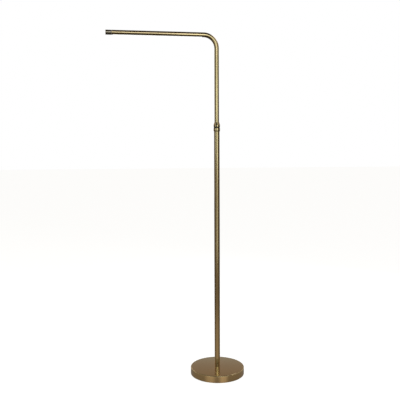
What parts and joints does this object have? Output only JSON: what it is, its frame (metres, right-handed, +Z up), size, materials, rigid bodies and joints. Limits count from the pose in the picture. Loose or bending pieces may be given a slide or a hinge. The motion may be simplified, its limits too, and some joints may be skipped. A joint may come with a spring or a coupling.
{
  "type": "adjustable arm floor lamp",
  "caption": "Floor lamp with a weighted round base, a telescoping pole with a lock ring, and a swivelling bent arm with a light strip underneath and a dimmer knob at its tip.",
  "frame": {"origin": "centre of the base's underside, on the floor at the pole's axis", "axes": "+Z up along the pole, the arm reaches along -X at rest, +Y towards the back, where the inlet is"},
  "size_m": [0.618, 0.2512, 1.5725],
  "materials": {
    "antique_brass": "brushed antique brass, satin lacquer",
    "dark_brass": "brushed antique brass, darker",
    "cast_iron": "as cast, painted black",
    "zinc_steel": "zinc plated",
    "aluminium": "extruded, natural anodised",
    "black_nylon": "moulded nylon",
    "pad_foam": "closed-cell foam rubber",
    "black_rubber": "moulded rubber",
    "frosted_acrylic": "frosted, light-diffusing",
    "white_board": "white solder mask",
    "phosphor": "silicone over phosphor",
    "black_plastic": "moulded",
    "lead_jacket": "soft PVC",
    "nickel": "nickel plated"
  },
  "bodies": {
    "stand": {"base_pad": "pad_foam", "bottom_plate": "zinc_steel", "plate_screws": "zinc_steel", "base_weight": "cast_iron", "base_cover": "antique_brass", "threaded_nipple": "zinc_steel", "nipple_washer": "zinc_steel", "nipple_nut": "zinc_steel", "pole_insert": "zinc_steel", "lower_pole": "antique_brass", "collar_body": "antique_brass", "friction_bush": "black_nylon", "inlet_jack": "black_plastic", "inlet_pin": "nickel", "inlet_nut": "nickel", "base_lead": "lead_jacket", "coiled_lead": "lead_jacket"},
    "ring": {"lock_ring": "antique_brass"},
    "carriage": {"guide_bush": "black_nylon"},
    "arm": {"arm_tube": "antique_brass", "bush_clips": "zinc_steel", "tube_grommet": "black_rubber", "arm_lead": "lead_jacket", "led_channel": "aluminium", "led_board": "white_board", "led_chips": "phosphor", "diffuser": "frosted_acrylic", "tip_bush": "black_nylon", "dimmer_body": "black_plastic", "dimmer_nut": "nickel"},
    "knob": {"dimmer_knob": "dark_brass", "dimmer_shaft": "nickel", "knob_screw": "zinc_steel"}
  },
  "joints": [
    {"name": "height_slide", "type": "slide", "parent": "stand", "child": "carriage", "axis": [0, 0, 1], "range_m": [-0.3, 0], "deforming": ["coiled_lead"]},
    {"name": "arm_swivel", "type": "hinge", "parent": "carriage", "child": "arm", "pos_m": [0, 0, 1.09], "axis": [0, 0, 1], "range_deg": [-165, 165]},
    {"name": "lock_ring_turn", "type": "hinge", "parent": "stand", "child": "ring", "pos_m": [0, 0, 1.16], "axis": [0, 0, 1], "range_deg": [0, 90]},
    {"name": "dimmer_turn", "type": "hinge", "parent": "arm", "child": "knob", "pos_m": [-0.479, 0, 1.562], "axis": [-1, 0, 0], "range_deg": [0, 270]}
  ]
}
